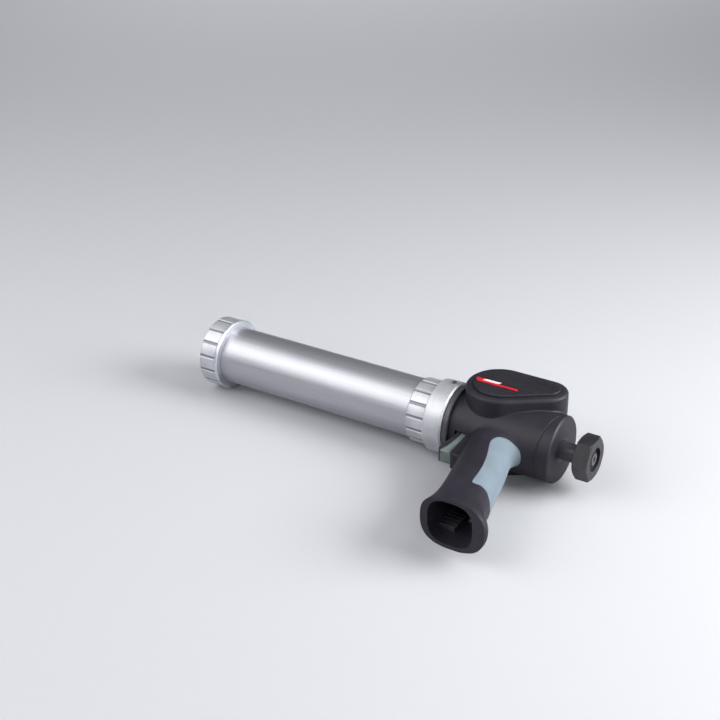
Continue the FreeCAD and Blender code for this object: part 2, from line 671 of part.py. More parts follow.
def housing_holes():
    holes = []
    for index, (x, y, seat) in enumerate(screw_places()):
        hole = of("screw_radius") + of("fit_gap")
        head = of("screw_head_radius") + of("fit_gap")
        holes.append(upright(f"screw_hole_{index}", hole, (x, y), seat, of("plate_level")))
        holes.append(upright(f"head_hole_{index}", head, (x, y), floor_z - of("overrun"), seat))
    seat_top = -of("lower_bearing_level")
    pocket = of("bearing_radius") + of("fit_gap")
    holes.append(upright("bearing_pocket", pocket, pinion_place(), seat_top - of("bearing_width"), seat_top))
    passage = of("bush_radius") + of("fit_gap")
    holes.append(cylinder("rod_passage", passage, of("body_length"), (body_x, ZERO, ZERO)))
    side = of("trigger_half_width") + of("trigger_slack")
    slot_x = pivot_x - of("trigger_depth") * of("slot_front_share")
    slot_end = slot_x + of("trigger_depth") * of("slot_depth_share")
    slot_top = of("slot_rise") + of("trigger_slack") - of("trigger_pivot_y")
    back = pivot_x + of("trigger_depth") * of("lever_back_share") + of("trigger_slack")
    drop = of("trigger_drop") + of("trigger_slack")
    low_back = back + drop * math.tan(math.radians(SIZES["trigger_swing"]))
    slot_low = -of("trigger_pivot_y") - drop
    holes.append(padded("trigger_slot", (
        (slot_x, slot_top), (slot_end, slot_top), (back, -of("trigger_pivot_y")), (low_back, slot_low),
        (slot_x, slot_low)), side * 2, (ZERO, ZERO, -side)))
    pin = of("trigger_pin_radius") + of("fit_gap")
    reach = of("trigger_pin_reach")
    holes.append(upright("trigger_pin_hole", pin, (pivot_x, -of("trigger_pivot_y")), -reach, reach))
    button = of("button_radius") + of("free_gap")
    holes.append(cylinder("button_hole", button, switch_x - pivot_x, (pivot_x, button_y, ZERO)))
    holes.append(switch_box("switch_space", of("fit_gap")))
    return holes


def trigger_seat():
    # Raised rim on the front of the handle; the trigger sinks into it when pulled.
    half = of("seat_half_width")
    block = padded("seat_block", trigger_outline(TRIGGER_SEAT_SHARES), half * 2, (ZERO, ZERO, -half))
    upper = rounded_top("seat_upper", block, half, of("seat_edge"))
    return rounded_top("trigger_seat", upper, -half, of("seat_edge"))


def make_housing():
    swell = of("body_length") * of("swell_share")
    rear_swell = of("body_length") * of("rear_swell_share")
    outer_body = revolved("body_outer", (
        (body_x, ZERO), (body_x, of("waist_radius")), (body_x + swell, of("waist_radius")),
        (rear_x - rear_swell, of("rear_radius")), (rear_x - of("rear_edge"), of("rear_radius")),
        (rear_x, of("rear_radius") - of("rear_edge")), (rear_x, ZERO)))
    cavity_end = rear_x - of("rear_cap_length") - of("rear_wall")
    inner_body = cylinder("body_inner", of("waist_radius") - of("shell_wall"),
                          cavity_end - body_x - of("front_wall"), (body_x + of("front_wall"), ZERO, ZERO))
    case_block = egg("case_block", ZERO, floor_z, of("case_left") - floor_z)
    case_outer = rounded_top("case_outer", case_block, of("case_left"), of("case_edge"))
    mouth = of("cover_inset") + of("ledge")
    case_inner = egg("case_inner", mouth, case_floor, cover_level - case_floor)
    lower_height = of("case_left") - of("shell_wall") * 2 - case_floor
    case_lower = egg("case_lower", of("shell_wall"), case_floor, lower_height)
    cover_seat = egg("cover_seat", of("cover_inset") - of("fit_gap"), cover_level, of("cover_thickness"))
    handle_outer = handle_loft("handle_outer", HANDLE_SHARES, ZERO)
    handle_inner = handle_loft("handle_inner", SOCKET_SHARES, ZERO)
    joined = fuse("housing_joined", outer_body, case_outer, handle_outer)
    joined.Refine = True
    outer = blended("housing_outer", joined, (
        (outer_body, case_outer, of("case_blend")), (outer_body, handle_outer, of("handle_blend"))))
    hollow = fuse("housing_hollow", inner_body, case_inner, case_lower, cover_seat, handle_inner)
    skin = cut("housing_skin", fuse("housing_formed", outer, trigger_seat()), hollow)
    core = handle_loft("insert_core", HANDLE_SHARES, of("insert_thickness"))
    skin_depth = of("shell_wall") / 2
    body_core = cylinder("body_core", of("waist_radius") - skin_depth,
                         cavity_end - body_x - skin_depth, (body_x + skin_depth, ZERO, ZERO))
    core_height = of("case_left") - floor_z - of("shell_wall")
    case_core = egg("case_core", skin_depth, floor_z + skin_depth, core_height)
    ribs = common("housing_ribs", housing_bosses(), fuse("rib_form", body_core, case_core, core))
    wedge = rear_wedge()
    clear = fuse("grip_clear", core, outer_body, case_outer, wedge)
    pocket = cut("grip_pocket", insert_region(), clear)
    whole = cut("housing_whole", fuse("housing_ribbed", skin, ribs), pocket, wedge, *housing_holes())
    half = of("handle_reach") * 2
    for label, low in (("housing_left", ZERO), ("housing_right", -half)):
        side = box(label + "_side", half, half * 2, half, (body_x - of("overrun"), -half, low))
        node(label, common(label, whole, side))
    node("grip_insert", common("grip_insert", outer, pocket))
    bore = cylinder("rear_cap_bore", of("bush_radius") + of("fit_gap"), of("body_length"),
                    (body_x, ZERO, ZERO))
    node("rear_end_cap", cut("rear_end_cap", common("rear_cap_blank", outer_body, wedge), bore))
    make_bush("front_bush", flange_x - of("spigot_length"), body_x + of("front_wall"))
    make_bush("rear_bush", cavity_end, rear_x)
    make_cover()
    make_screws()


def make_bush(label, start, end):
    inner = of("rod_radius") + of("run_gap")
    outer = of("bush_radius")
    node(label, revolved(label, ((start, inner), (start, outer), (end, outer), (end, inner))))


def make_cover():
    top = cover_level + of("cover_thickness")
    block = egg("cover_block", of("cover_inset"), cover_level, of("cover_thickness"))
    panel = rounded_top("cover_panel", block, top, of("cover_edge"))
    grooves = []
    middle = of("case_front_y")
    count = int(SIZES["groove_count"])
    for index in range(count):
        y = middle + of("groove_pitch") * (index - (count - 1) / 2) - of("groove_width") / 2
        at = (body_x, y, top - of("groove_depth"))
        grooves.append(box(f"groove_{index}", of("body_length"), of("groove_width"),
                           of("cover_thickness"), at))
    node("gear_cover", cut("gear_cover", panel, *grooves))
    left = body_x + of("label_x")
    right = left + of("label_length")
    low = of("label_y") - of("label_height")
    slant = of("label_height") / 2
    node("label_plate", padded("label_plate", (
        (left, low + slant), (left + slant, low), (right, low), (right - slant, of("label_y")),
        (left, of("label_y"))), of("label_thickness"), (ZERO, ZERO, top)))


def make_screws():
    screws = []
    for index, (x, y, seat) in enumerate(screw_places()):
        tip = of("plate_level") - of("overrun")
        shank = upright(f"screw_shank_{index}", of("screw_radius"), (x, y), seat, tip)
        foot = seat - of("screw_head_height")
        head = upright(f"screw_head_{index}", of("screw_head_radius"), (x, y), foot, seat)
        key = prism(f"screw_key_{index}", of("screw_radius") * 2, of("hex_key_depth"), (x, y, foot), "Z")
        screws.append(cut(f"housing_screw_{index}", fuse(f"screw_blank_{index}", shank, head), key))
    node("housing_screws", group("housing_screws", screws))


def trigger_outline(shares):
    return [(pivot_x + of("trigger_depth") * across, of("trigger_drop") * down - of("trigger_pivot_y"))
            for across, down in shares]


def make_trigger():
    side = of("trigger_half_width")
    pivot = (pivot_x, -of("trigger_pivot_y"))
    lever = padded("trigger_lever", trigger_outline(LEVER_SHARES), side * 2, (ZERO, ZERO, -side))
    eye = upright("trigger_eye", of("trigger_eye"), pivot, -side, side)
    hole = upright("trigger_hole", of("trigger_pin_radius") + of("run_gap"), pivot, -side, side)
    node("trigger", cut("trigger", fuse("trigger_blank", lever, eye), hole))
    node("trigger_pad", padded("trigger_pad", trigger_outline(PAD_SHARES), side * 2, (ZERO, ZERO, -side)))
    reach = of("trigger_pin_reach") - of("fit_gap")
    node("trigger_pin", upright("trigger_pin", of("trigger_pin_radius"), pivot, -reach, reach))


def make_switch():
    lever_back = pivot_x + of("trigger_depth") * of("lever_back_share")
    depth = of("switch_length") / 4
    start = lever_back + of("button_gap")
    seat = cylinder("button_seat", of("button_radius") + of("run_gap"), depth, (switch_x, button_y, ZERO))
    node("switch_body", cut("switch_body", switch_box("switch_block", ZERO), seat))
    length = switch_x + depth / 2 - start
    node("switch_button", cylinder("switch_button", of("button_radius"), length, (start, button_y, ZERO)))
    board_x = switch_x + of("switch_length")
    board_low = button_y - of("board_height") / 2
    side = of("board_half_width")
    node("circuit_board", box("circuit_board", of("board_thickness"), of("board_height"), side * 2,
                              (board_x, board_low, -side)))
    leads = []
    bottom = -of("contact_depth")
    for index, across in enumerate((-1, 1)):
        at = (board_x + of("board_thickness") / 2, bottom, of("lead_spread") * across)
        leads.append(cylinder(f"battery_lead_{index}", of("lead_radius"), board_low - bottom, at, "Y"))
    node("battery_leads", group("battery_leads", leads))
    make_motor_leads(board_x + of("board_thickness") / 2, board_low + of("board_height"))


def make_motor_leads(x, y):
    # Two leads from the board past the rod to the side of the motor.
    motor_x, motor_y = output_place()
    low = case_floor + of("motor_gap") + of("end_cap_length") / 2
    leads = []
    for index in range(2):
        lift = of("lead_spread") * index
        side = motor_y - of("motor_radius") * of("lead_side_share")
        end = motor_x - of("motor_radius") - of("fit_gap")
        inset = of("board_half_width") * of("lead_inset_share")
        climb = side - y
        first = Vector(x.value, y.value, (lift - inset).value)
        last = Vector(end.value, side.value, (low + lift).value)
        second = first + Vector(0, (climb * of("lead_rise_share")).value, 0)
        beside = last.x - SIZES["lead_spread"]
        third = Vector(beside, last.y - (climb * of("lead_drop_share")).value, last.z)
        fourth = Vector(beside, last.y, last.z)
        leads.append(lead_tube((first, second, third, fourth, last), SIZES["lead_radius"]))
    node("motor_leads", shaped("motor_leads", Part.makeCompound(leads)))


def lead_tube(points, radius):
    # Straight runs joined by tangent arcs that take up nearly half of the shorter run.
    edges = []
    begin = points[0]
    for before, corner, after in zip(points, points[1:], points[2:]):
        back = (before - corner).normalize()
        ahead = (after - corner).normalize()
        take = SIZES["lead_bend_share"] * min((before - corner).Length, (after - corner).Length)
        start, end = corner + back * take, corner + ahead * take
        bisector = (back + ahead).normalize()
        turn = back.getAngle(ahead)
        middle = corner + bisector * (take / math.cos(turn / 2) - take * math.tan(turn / 2))
        edges.append(Part.LineSegment(begin, start).toShape())
        edges.append(Part.Arc(start, middle, end).toShape())
        begin = end
    edges.append(Part.LineSegment(begin, points[-1]).toShape())
    section = Part.Wire(Part.makeCircle(radius, points[0], points[1] - points[0]))
    return Part.Wire(edges).makePipeShell([section], True, False)


def make_socket():
    cavity = handle_loft("socket_fit", SOCKET_SHARES, of("fit_gap"))
    wide = of("handle_reach")
    half = of("grip_half_width") * 2
    bottom = -of("contact_depth") - of("contact_height")
    slab = box("contact_slab", wide, of("contact_height"), half * 2, (body_x, bottom, -half))
    node("contact_block", common("contact_block", cavity, slab))
    depth_share = SIZES["contact_depth"] / SIZES["handle_reach"]
    blades = []
    for index in range(3):
        x = grip_x(depth_share, 0) + of("blade_pitch") * (index - 1) - of("blade_thickness") / 2
        at = (x, bottom - of("blade_length"), -of("blade_half_width"))
        blades.append(box(f"blade_{index}", of("blade_thickness"), of("blade_length"),
                          of("blade_half_width") * 2, at))
    # Spring strips stand on the socket's right wall, beside the ribs.
    deep = of("strip_share")
    wall = -of("grip_half_width") * of("socket_width_share")
    low = wall - of("rib_height")
    for index in range(2):
        at = (grip_x(deep, of("rib_end_share")) + of("strip_length") / 2,
              -of("handle_reach") * deep - of("strip_pitch") * index, low)
        strip = box(f"strip_{index}", of("strip_length"), of("strip_thickness"),
                    of("rib_height") + of("strip_height"), at)
        blades.append(common(f"strip_in_{index}", cavity, strip))
    node("battery_contacts", group("battery_contacts", blades))
    strips = []
    count = int(SIZES["rib_count"])
    tall = of("rib_height") * 2
    start = -of("handle_reach") * of("rib_start_share")
    for index in range(count):
        y = start - of("rib_pitch") * index
        end = grip_x(SIZES["rib_start_share"], of("rib_end_share"))
        strips.append(box(f"rib_{index}", of("rib_reach"), of("rib_thickness"), tall,
                          (end - of("rib_reach"), y, low)))
    spine = box("rib_spine", of("rib_reach"), of("rib_pitch") * (count - 1),
                of("rib_height") + of("liner_thickness"), (end - of("rib_reach"), y, low))
    node("socket_ribs", common("socket_ribs", cavity, fuse("rib_strips", spine, *strips)))


def gear_shape(teeth, module, width, phase):
    # Involute spur gear: flanks are curves on the base circle, tips and roots are straight.
    pitch_radius = module * teeth / 2
    base = pitch_radius * math.cos(math.radians(SIZES["pressure_angle"]))
    tip = pitch_radius + module
    root = pitch_radius - module * SIZES["dedendum_share"]
    roll = math.tan(math.radians(SIZES["pressure_angle"]))
    half_angle = math.pi / (2 * teeth) - SIZES["backlash"] / (2 * pitch_radius)
    offset = half_angle + roll - math.atan(roll)

    def flank_point(radius, side, centre):
        turn = math.sqrt(max((radius / base) ** 2 - 1, 0))
        angle = centre + side * (offset - turn + math.atan(turn))
        return Vector(radius * math.cos(angle), radius * math.sin(angle), 0)

    low = max(base, root)
    steps = [low + (tip - low) * share for share in FLANK_SHARES]
    edges = []
    for index in range(teeth):
        centre = phase + 2 * math.pi * index / teeth
        following = centre + 2 * math.pi / teeth
        rise = [flank_point(radius, -1, centre) for radius in steps]
        fall = [flank_point(radius, 1, centre) for radius in reversed(steps)]
        foot = [point * (root / low) for point in (rise[0], fall[-1], flank_point(low, -1, following))]
        runs = [(rise[-1], fall[0]), (foot[1], foot[2])]
        if low > root:
            runs += [(foot[0], rise[0]), (fall[-1], foot[1])]
        for points in (rise, fall):
            curve = Part.BSplineCurve()
            curve.interpolate(points)
            edges.append(curve.toShape())
        edges += [Part.LineSegment(a, b).toShape() for a, b in runs]
    outline = Part.Wire(Part.__sortEdges__(edges))
    return Part.Face(outline).extrude(Vector(0, 0, width))


def make_gears():
    x, y = pinion_place()
    bore = of("shaft_radius") + of("fit_gap")
    side = of("pinion_half_width")
    teeth = int(SIZES["pinion_teeth"])
    phase = -math.pi / 2 + math.pi / teeth
    shape = gear_shape(teeth, SIZES["rack_module"], 2 * side.value, phase)
    blank = shaped("pinion_blank", shape, (x, y, -side))
    node("rack_pinion", cut("rack_pinion", blank, upright("pinion_bore", bore, (x, y), -side, side)))
    level = plate_top + of("gear_lift")
    top = level + of("gear_width")
    angle = math.radians(SIZES["train_angle"])
    module = SIZES["gear_module"]
    shape = gear_shape(int(SIZES["drive_teeth"]), module, SIZES["gear_width"], angle)
    blank = shaped("drive_blank", shape, (x, y, level))
    node("drive_gear", cut("drive_gear", blank, upright("drive_bore", bore, (x, y), level, top)))
    low = -of("lower_bearing_level") - of("bearing_width")
    clip = of("clip_width")
    node("pinion_shaft", upright("pinion_shaft", of("shaft_radius"), (x, y), low, top + clip * 2))
    clips = []
    for index, start in enumerate((-side - clip, top)):
        ring = upright(f"clip_ring_{index}", of("clip_radius"), (x, y), start, start + clip)
        hole = upright(f"clip_hole_{index}", bore, (x, y), start, start + clip)
        clips.append(cut(f"clip_{index}", ring, hole))
    node("shaft_clips", group("shaft_clips", clips))
    run = of("shaft_radius") + of("run_gap")
    for label, start in (("lower_bearing", low), ("upper_bearing", of("plate_level"))):
        end = start + of("bearing_width")
        race = upright(label + "_race", of("bearing_radius"), (x, y), start, end)
        node(label, cut(label, race, upright(label + "_hole", run, (x, y), start, end)))
    u, v = output_place()
    teeth = int(SIZES["output_teeth"])
    shape = gear_shape(teeth, module, SIZES["gear_width"], angle + math.pi + math.pi / teeth)
    blank = shaped("output_blank", shape, (u, v, level))
    bore = of("output_shaft_radius") + of("fit_gap")
    node("output_pinion", cut("output_pinion", blank, upright("output_bore", bore, (u, v), level, top)))
    seat = of("plate_level") - of("bearing_width")
    node("output_shaft", upright("output_shaft", of("output_shaft_radius"), (u, v), seat, top + clip))
    make_drive(x, y, u, v, seat)


def make_drive(x, y, u, v, seat):
    # Gear plate with the gearbox and motor hung under it.
    level = of("plate_level")
    plate = egg("plate_block", of("shell_wall") + of("plate_margin"), level, of("bearing_width"))
    holes = [upright("plate_bearing", of("bearing_radius") + of("fit_gap"), (x, y), level, plate_top),
             upright("plate_output", of("output_shaft_radius") + of("clip_width"), (u, v), level, plate_top)]
    passing = screw_places()[1]
    holes.append(upright("plate_notch", of("boss_radius") + of("fit_gap"), passing, level, plate_top))
    seats = [upright("gearbox_seat", of("output_shaft_radius") + of("run_gap"), (u, v), seat, level)]
    screws = []
    head_low = plate_top - of("bearing_width") / 2
    tip = level - of("plate_screw_depth")
    for index in range(3):
        angle = math.radians(SIZES["train_angle"]) + 2 * math.pi * index / 3
        at = (u + of("plate_screw_circle") * math.cos(angle), v + of("plate_screw_circle") * math.sin(angle))
        stem = of("plate_screw_radius")
        hole = stem + of("fit_gap")
        head = of("plate_screw_head")
        holes.append(upright(f"plate_hole_{index}", hole, at, level, head_low))
        holes.append(upright(f"plate_head_hole_{index}", head + of("fit_gap"), at, head_low, plate_top))
        seats.append(upright(f"gearbox_hole_{index}", hole, at, tip, level))
        shank = upright(f"plate_shank_{index}", stem, at, tip, head_low)
        cap = upright(f"plate_head_{index}", head, at, head_low, plate_top)
        screws.append(fuse(f"plate_screw_{index}", shank, cap))
    node("gear_plate", cut("gear_plate", plate, *holes))
    node("plate_screws", group("plate_screws", screws))
    radius = of("motor_radius")
    box_low = level - of("gearbox_length")
    can_low = case_floor + of("motor_gap") + of("end_cap_length")
    node("gearbox_can", cut("gearbox_can", upright("gearbox_block", radius, (u, v), box_low, level), *seats))
    node("motor_can", upright("motor_can", radius, (u, v), can_low, box_low))
    node("motor_end_cap", upright("motor_end_cap", radius, (u, v), can_low - of("end_cap_length"), can_low))


make_cap()
make_barrel()
make_plunger()
make_housing()
make_trigger()
make_switch()
make_socket()
make_gears()

doc.recompute()
failed = [thing.Label for thing in doc.Objects if {"Invalid", "Error"} & set(thing.State)]
if failed:
    raise SystemExit(f"failed: {failed}")
for label, thing in nodes.items():
    if thing.Shape.isNull() or not thing.Shape.isValid() or not thing.Shape.Solids:
        raise SystemExit(f"bad shape: {label}")
os.makedirs("parts", exist_ok=True)
for label, thing in nodes.items():
    thing.Shape.exportStep(f"parts/{label}.step")
    print(label, len(thing.Shape.Solids), "solids", round(thing.Shape.Volume), "mm3")
print(len(nodes), "nodes")
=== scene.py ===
import math
import bpy
from mathutils import Matrix, Vector


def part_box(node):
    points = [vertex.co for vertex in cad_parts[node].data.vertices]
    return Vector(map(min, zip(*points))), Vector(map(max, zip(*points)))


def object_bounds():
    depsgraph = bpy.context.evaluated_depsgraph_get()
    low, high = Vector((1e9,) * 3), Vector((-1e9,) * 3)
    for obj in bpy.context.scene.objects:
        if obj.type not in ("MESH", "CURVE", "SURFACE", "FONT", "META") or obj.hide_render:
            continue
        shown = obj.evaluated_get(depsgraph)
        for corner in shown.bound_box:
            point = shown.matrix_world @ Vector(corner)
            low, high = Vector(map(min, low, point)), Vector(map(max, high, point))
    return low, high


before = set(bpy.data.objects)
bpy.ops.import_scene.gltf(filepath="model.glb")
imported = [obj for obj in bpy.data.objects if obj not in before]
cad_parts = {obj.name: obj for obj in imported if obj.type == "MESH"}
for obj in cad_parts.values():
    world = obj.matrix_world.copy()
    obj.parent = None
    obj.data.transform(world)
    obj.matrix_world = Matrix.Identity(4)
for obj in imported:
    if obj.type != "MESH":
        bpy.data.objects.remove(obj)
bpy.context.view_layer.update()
print("frame loaded:", len(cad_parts), "nodes")

perMetre = 1000.0  # millimetres in a metre
edgeSamples = 6  # rays that a softened edge is averaged over


def toLinear(hexColour):  # the sRGB standard's curve
    channels = [int(hexColour[i:i + 2], 16) / 255 for i in (1, 3, 5)]
    return tuple(c / 12.92 if c <= 0.04045 else ((c + 0.055) / 1.055) ** 2.4 for c in channels) + (1.0,)


def cells(size):
    return perMetre / size  # texture scale whose cells are this many millimetres wide


def addNode(tree, kind, settings, links):
    node = tree.nodes.new(kind)
    for key, value in settings.items():
        if isinstance(key, int) or key in node.inputs:
            node.inputs[key].default_value = value
        else:
            setattr(node, key, value)
    for key, (source, output) in links.items():
        tree.links.new(source.outputs[output], node.inputs[key])
    return node


def addNoise(tree, vector, size, detail=2.0, roughness=0.5):
    return addNode(tree, "ShaderNodeTexNoise", {"Scale": cells(size), "Detail": detail, "Roughness": roughness},
                   {"Vector": vector})


def addTint(tree, source, look, span):
    tint = addNode(tree, "ShaderNodeValToRGB", {}, {"Fac": source})
    for index, colour in enumerate(("dark", "light")):
        tint.color_ramp.elements[index].position = span[index]
        tint.color_ramp.elements[index].color = toLinear(look[colour])
    return tint


def addGloss(tree, source, rough):
    return addNode(tree, "ShaderNodeMapRange", {"To Min": rough[0], "To Max": rough[1]}, {"Value": source})


def addEdge(tree, radius):
    return addNode(tree, "ShaderNodeBevel", {"samples": edgeSamples, "Radius": radius / perMetre}, {})


def addMath(tree, operation, settings, links):
    return addNode(tree, "ShaderNodeMath", {"operation": operation, **settings}, links)


def newFinish(name):
    finish = bpy.data.materials.new(name)
    finish.use_nodes = True
    finish.node_tree.nodes.clear()
    return finish, finish.node_tree


def closeFinish(tree, settings, colour, gloss, normal):
    shader = addNode(tree, "ShaderNodeBsdfPrincipled", settings,
                     {"Base Color": colour, "Roughness": (gloss, "Result"), "Normal": normal})
    addNode(tree, "ShaderNodeOutputMaterial", {}, {"Surface": (shader, "BSDF")})


# Moulded ABS and glass-filled nylon: spark-eroded tools leave a fine grain that scatters the highlight
# The real grain is near 0.1 mm and is drawn coarser, so that it still shows
mouldStyle = {"grainDetail": 3.0, "grainRoughness": 0.6, "grainShare": 0.35, "span": (0.45, 0.95), "depthShare": 6.0,
              "ior": 1.53, "seam": "#070709", "seamBump": 0.8, "seamDepth": 0.4, "seamCore": 3.0}


def mouldedPlastic(name, look):
    finish, tree = newFinish(name)
    place = addNode(tree, "ShaderNodeTexCoord", {}, {})
    grain = addNoise(tree, (place, "Object"), look["grain"], mouldStyle["grainDetail"], mouldStyle["grainRoughness"])
    flow = addNoise(tree, (place, "Object"), look["flow"])
    blotch = addMath(tree, "MULTIPLY_ADD", {1: mouldStyle["grainShare"]}, {0: (grain, "Fac"), 2: (flow, "Fac")})
    tint = addTint(tree, (blotch, 0), look, mouldStyle["span"])
    gloss = addGloss(tree, (flow, "Fac"), look["rough"])
    edge = addEdge(tree, look["edge"])
    bump = addNode(tree, "ShaderNodeBump",
                   {"Strength": look["bump"], "Distance": look["grain"] / mouldStyle["depthShare"] / perMetre},
                   {"Height": (grain, "Fac"), "Normal": (edge, "Normal")})
    colour, normal = (tint, "Color"), (bump, "Normal")
    axes = addNode(tree, "ShaderNodeSeparateXYZ", {}, {"Vector": (place, "Object")})
    for joint in look.get("joints", ()):  # dark hairline where two mouldings meet
        width = joint["width"] / perMetre
        side = addNode(tree, "ShaderNodeVectorMath", {"operation": "DOT_PRODUCT", 1: joint["facing"]},
                       {0: (place, "Object")})
        away = addMath(tree, "SUBTRACT", {1: joint["level"] / perMetre}, {0: (side, "Value")})
        gap = addMath(tree, "ABSOLUTE", {}, {0: (away, 0)})
        below = addMath(tree, "LESS_THAN", {1: joint["lowest"] / perMetre}, {0: (axes, "Y")})
        wide = addMath(tree, "ADD", {}, {0: (gap, 0), 1: (below, 0)})
        line = addNode(tree, "ShaderNodeMapRange", {"From Min": width / mouldStyle["seamCore"], "From Max": width},
                       {"Value": (wide, 0)})
        shade = addNode(tree, "ShaderNodeMix", {"data_type": "RGBA", 6: toLinear(mouldStyle["seam"])},
                        {0: (line, "Result"), 7: colour})
        notch = addNode(tree, "ShaderNodeBump",
                        {"Strength": mouldStyle["seamBump"], "Distance": mouldStyle["seamDepth"] / perMetre},
                        {"Height": (line, "Result"), "Normal": normal})
        colour, normal = (shade, 2), (notch, "Normal")
    closeFinish(tree, {"IOR": mouldStyle["ior"], "Sheen Weight": look.get("sheen", 0.0),
                       "Specular IOR Level": look.get("specular", 0.5)}, colour, gloss, normal)
    return finish


# Turned aluminium and steel: the tool leaves fine rings round the axis, so highlights streak along it
# Real feed marks are near 0.1 mm apart and are drawn coarser, so that they still show
turnStyle = {"feedShare": 0.5, "hazeDetail": 3.0, "span": (0.5, 1.0), "depthShare": 10.0,
             "shadeStart": 0.2, "sideways": 0.5}


def turnedMetal(name, look):
    finish, tree = newFinish(name)
    place = addNode(tree, "ShaderNodeTexCoord", {}, {})
    axes = addNode(tree, "ShaderNodeSeparateXYZ", {}, {"Vector": (place, "Object")})
    flat = addNode(tree, "ShaderNodeCombineXYZ", {"X": 0.0}, {"Y": (axes, "Y"), "Z": (axes, "Z")})
    radius = addNode(tree, "ShaderNodeVectorMath", {"operation": "LENGTH"}, {0: (flat, "Vector")})
    rings = addNode(tree, "ShaderNodeCombineXYZ", {"Z": 0.0}, {"X": (axes, "X"), "Y": (radius, "Value")})
    feed = addNoise(tree, (rings, "Vector"), look["feed"])
    haze = addNoise(tree, (place, "Object"), look["haze"], turnStyle["hazeDetail"])
    mixed = addMath(tree, "MULTIPLY_ADD", {1: turnStyle["feedShare"]}, {0: (feed, "Fac"), 2: (haze, "Fac")})
    tint = addTint(tree, (mixed, 0), look, turnStyle["span"])
    gloss = addGloss(tree, (feed, "Fac"), look["rough"])
    edge = addEdge(tree, look["edge"])
    bump = addNode(tree, "ShaderNodeBump",
                   {"Strength": look["bump"], "Distance": look["feed"] / turnStyle["depthShare"] / perMetre},
                   {"Height": (feed, "Fac"), "Normal": (edge, "Normal")})
    colour = (tint, "Color")
    if "land" in look:  # painted shade in the grooves, which lie just below the land's radius
        depth = addMath(tree, "SUBTRACT", {0: look["land"] / perMetre}, {1: (radius, "Value")})
        inside = addNode(tree, "ShaderNodeMapRange",
                         {"From Min": turnStyle["shadeStart"] / perMetre, "From Max": look["groove"] / 2 / perMetre},
                         {"Value": (depth, 0)})
        shallow = addMath(tree, "LESS_THAN", {1: look["groove"] / perMetre}, {0: (depth, 0)})
        geometry = addNode(tree, "ShaderNodeNewGeometry", {}, {})
        facing = addNode(tree, "ShaderNodeSeparateXYZ", {}, {"Vector": (geometry, "True Normal")})
        endwise = addMath(tree, "ABSOLUTE", {}, {0: (facing, "X")})
        sideways = addMath(tree, "LESS_THAN", {1: turnStyle["sideways"]}, {0: (endwise, 0)})  # end faces get no painted shade
        inGroove = addMath(tree, "MULTIPLY", {}, {0: (inside, "Result"), 1: (shallow, 0)})
        paintedGrooveShade = addMath(tree, "MULTIPLY", {}, {0: (inGroove, 0), 1: (sideways, 0)})
        shade = addNode(tree, "ShaderNodeMix", {"data_type": "RGBA", 7: toLinear(look["paintedGrooveShade"])},
                        {0: (paintedGrooveShade, 0), 6: colour})
        colour = (shade, 2)
    closeFinish(tree, {"Metallic": look.get("metal", 1.0)}, colour, gloss, (bump, "Normal"))
    return finish


# Extruded aluminium tube, etched and clear anodised: silky grey with faint die lines along its length
# Real die lines are near 0.2 mm wide and are drawn coarser
tubeLook = {"dark": "#acacb2", "light": "#bbbbc1", "lineLength": 90.0, "lineWidth": 0.9, "lineDetail": 3.0,
            "lineRoughness": 0.65, "span": (0.3, 0.7), "etch": 1.2, "rough": (0.44, 0.54), "bump": 0.1, "depth": 0.02}


def anodisedTube(look):
    finish, tree = newFinish("anodisedTubeAluminium")
    place = addNode(tree, "ShaderNodeTexCoord", {}, {})
    drawn = addNode(tree, "ShaderNodeMapping",
                    {"Scale": (cells(look["lineLength"]), cells(look["lineWidth"]), cells(look["lineWidth"]))},
                    {"Vector": (place, "Object")})
    lines = addNoise(tree, (drawn, "Vector"), perMetre, look["lineDetail"], look["lineRoughness"])
    etch = addNoise(tree, (place, "Object"), look["etch"])
    tint = addTint(tree, (lines, "Fac"), look, look["span"])
    gloss = addGloss(tree, (etch, "Fac"), look["rough"])
    bump = addNode(tree, "ShaderNodeBump", {"Strength": look["bump"], "Distance": look["depth"] / perMetre},
                   {"Height": (lines, "Fac")})
    closeFinish(tree, {"Metallic": 1.0}, (tint, "Color"), gloss, (bump, "Normal"))
    return finish


# Printed polyester film: a red stripe with a pale and a black field above it, no lettering, under a thin clear gloss
# The print's real dots are near 0.1 mm and are drawn coarser
labelLook = {"pale": "#dcc6ca", "red": "#b8121f", "black": "#17151a", "slant": -0.1, "dots": 0.8, "dotDetail": 1.0,
             "upper": ((0.1, "pale"), (0.47, "black")), "split": (0.42, 0.5), "rough": (0.22, 0.38),
             "bump": 0.1, "depth": 0.03, "ior": 1.57, "coat": 0.4, "coatRough": 0.15}


